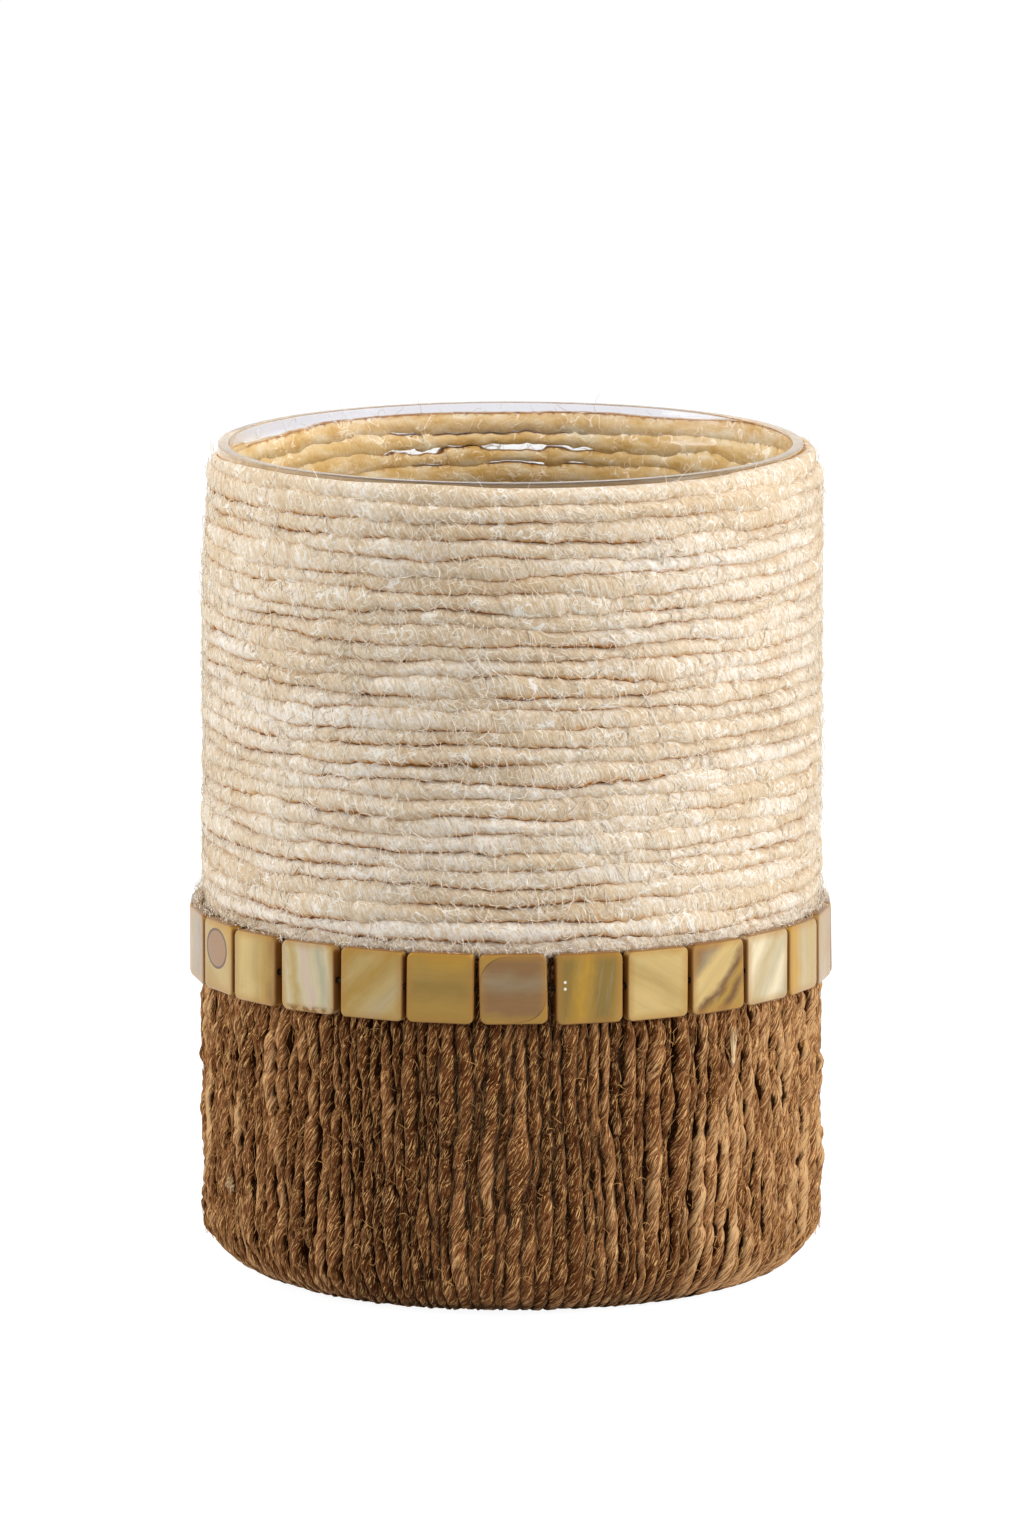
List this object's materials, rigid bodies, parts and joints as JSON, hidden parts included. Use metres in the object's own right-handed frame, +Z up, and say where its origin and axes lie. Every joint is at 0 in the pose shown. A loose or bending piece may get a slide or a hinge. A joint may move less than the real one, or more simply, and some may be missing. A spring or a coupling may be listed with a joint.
{
  "type": "tealight holder",
  "caption": "Clear glass tumbler for a tealight, wrapped in cream cord above and brown cord below, with a band of square shell tiles round its middle.",
  "frame": {"origin": "centre of the flat ring that the holder stands on", "axes": "+Z up along the tumbler's axis, the pictured front towards -Y, +X to the right of it"},
  "size_m": [0.077, 0.077, 0.1],
  "materials": {
    "glass": "clear, fire-polished",
    "cream_cord": "undyed slubby jute yarn, matte with a slight sheen",
    "brown_cord": "brown slubby jute yarn, matte with golden fibres",
    "shell": "polished shell, golden to pearl grey",
    "thread": "dark twisted thread"
  },
  "bodies": {
    "root": {"glass_tumbler": "glass", "cream_cord_winding": "cream_cord", "brown_cord_sleeve": "brown_cord", "shell_tile_01": "shell", "shell_tile_02": "shell", "shell_tile_03": "shell", "shell_tile_04": "shell", "shell_tile_05": "shell", "shell_tile_06": "shell", "shell_tile_07": "shell", "shell_tile_08": "shell", "shell_tile_09": "shell", "shell_tile_10": "shell", "shell_tile_11": "shell", "shell_tile_12": "shell", "shell_tile_13": "shell", "shell_tile_14": "shell", "shell_tile_15": "shell", "shell_tile_16": "shell", "shell_tile_17": "shell", "shell_tile_18": "shell", "shell_tile_19": "shell", "shell_tile_20": "shell", "shell_tile_21": "shell", "shell_tile_22": "shell", "shell_tile_23": "shell", "shell_tile_24": "shell", "shell_tile_25": "shell", "shell_tile_26": "shell", "shell_tile_27": "shell", "shell_tile_28": "shell", "tile_thread": "thread"}
  },
  "joints": []
}
